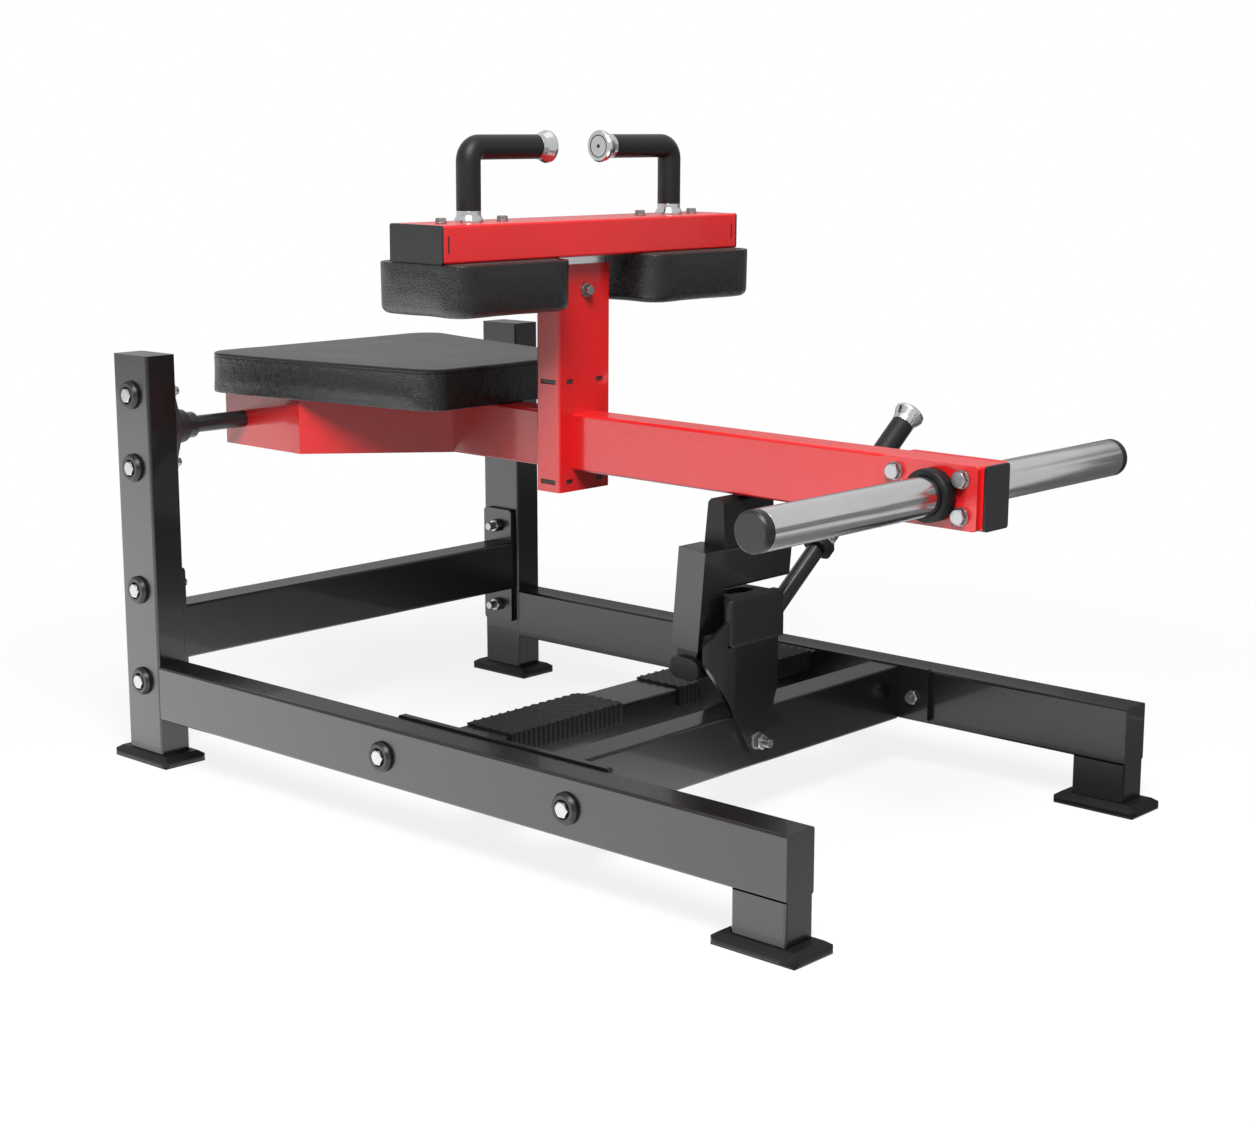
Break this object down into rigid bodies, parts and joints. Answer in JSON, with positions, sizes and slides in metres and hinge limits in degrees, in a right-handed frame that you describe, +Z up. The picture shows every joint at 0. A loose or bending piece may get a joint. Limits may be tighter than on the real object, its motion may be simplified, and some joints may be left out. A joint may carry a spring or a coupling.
{
  "type": "seated calf raise machine",
  "caption": "Plate-loaded seated calf raise machine: black tube base with foot treads, red swing arm with seat, sliding thigh pads with handles, weight horns and a lever-operated catch.",
  "frame": {"origin": "on the floor, midway across the machine and midway between the back of the rear feet and the front of the front feet", "axes": "+X from the seat to the weight horns, +Y to the left of the seated user, +Z up"},
  "size_m": [1.288, 0.812, 0.9145],
  "materials": {
    "frame_paint": "satin",
    "arm_paint": "gloss",
    "chrome": "polished",
    "zinc": "satin",
    "dark_steel": "satin",
    "cast_black": "satin",
    "black_rubber": "matte",
    "grip_rubber": "satin",
    "black_plastic": "matte",
    "black_leather": "satin",
    "board": "matte"
  },
  "bodies": {
    "base": {"right_rear_post": "frame_paint", "left_rear_post": "frame_paint", "post_caps": "frame_paint", "right_side_rail": "frame_paint", "left_side_rail": "frame_paint", "rail_end_caps": "frame_paint", "front_legs": "frame_paint", "rubber_feet": "black_rubber", "rear_crossbeam": "frame_paint", "rear_end_plates": "frame_paint", "tread_beam": "frame_paint", "front_crossbeam": "frame_paint", "platform_plates": "frame_paint", "right_tread": "black_rubber", "left_tread": "black_rubber", "catch_bracket": "frame_paint", "beam_bumper": "black_rubber", "catch_stop_pad": "black_rubber", "bracket_bolt": "zinc", "bearing_housings": "cast_black", "frame_bolts": "zinc", "frame_nuts": "zinc", "cup_washers": "black_plastic"},
    "arm": {"axle": "dark_steel", "axle_collars": "dark_steel", "hub_box": "arm_paint", "main_beam": "arm_paint", "beam_end_cap": "black_plastic", "knee_post": "arm_paint", "post_shelves": "arm_paint", "clamp_bolt": "zinc", "horn_plates": "arm_paint", "right_weight_horn": "chrome", "left_weight_horn": "chrome", "horn_end_caps": "black_plastic", "horn_rings": "black_rubber", "horn_bolts": "zinc", "seat_board": "board", "seat_cushion": "black_leather"},
    "knee_pads": {"insert_tube": "zinc", "crossbar": "arm_paint", "crossbar_caps": "frame_paint", "pad_boards": "board", "right_thigh_pad": "black_leather", "left_thigh_pad": "black_leather", "pad_bolts": "zinc", "right_handle": "dark_steel", "left_handle": "dark_steel", "handle_grips": "grip_rubber", "handle_collars": "chrome", "handle_end_caps": "chrome"},
    "catch": {"catch_shaft": "dark_steel", "catch_upright": "frame_paint", "catch_crossarm": "frame_paint", "crossarm_cap": "frame_paint", "catch_block": "black_rubber", "lever_bar": "frame_paint", "lever_grip": "grip_rubber", "lever_ring": "black_rubber", "lever_chrome": "chrome"}
  },
  "joints": [
    {"name": "arm_pivot", "type": "hinge", "parent": "base", "child": "arm", "pos_m": [-0.58, 0, 0.49], "axis": [0, -1, 0], "range_deg": [0, 12]},
    {"name": "knee_pad_slide", "type": "slide", "parent": "arm", "child": "knee_pads", "axis": [0.008, 0, 1], "range_m": [0, 0.1]},
    {"name": "catch_pivot", "type": "hinge", "parent": "base", "child": "catch", "pos_m": [0.206, 0, 0.219], "axis": [0, -1, 0], "range_deg": [0, 60]}
  ]
}
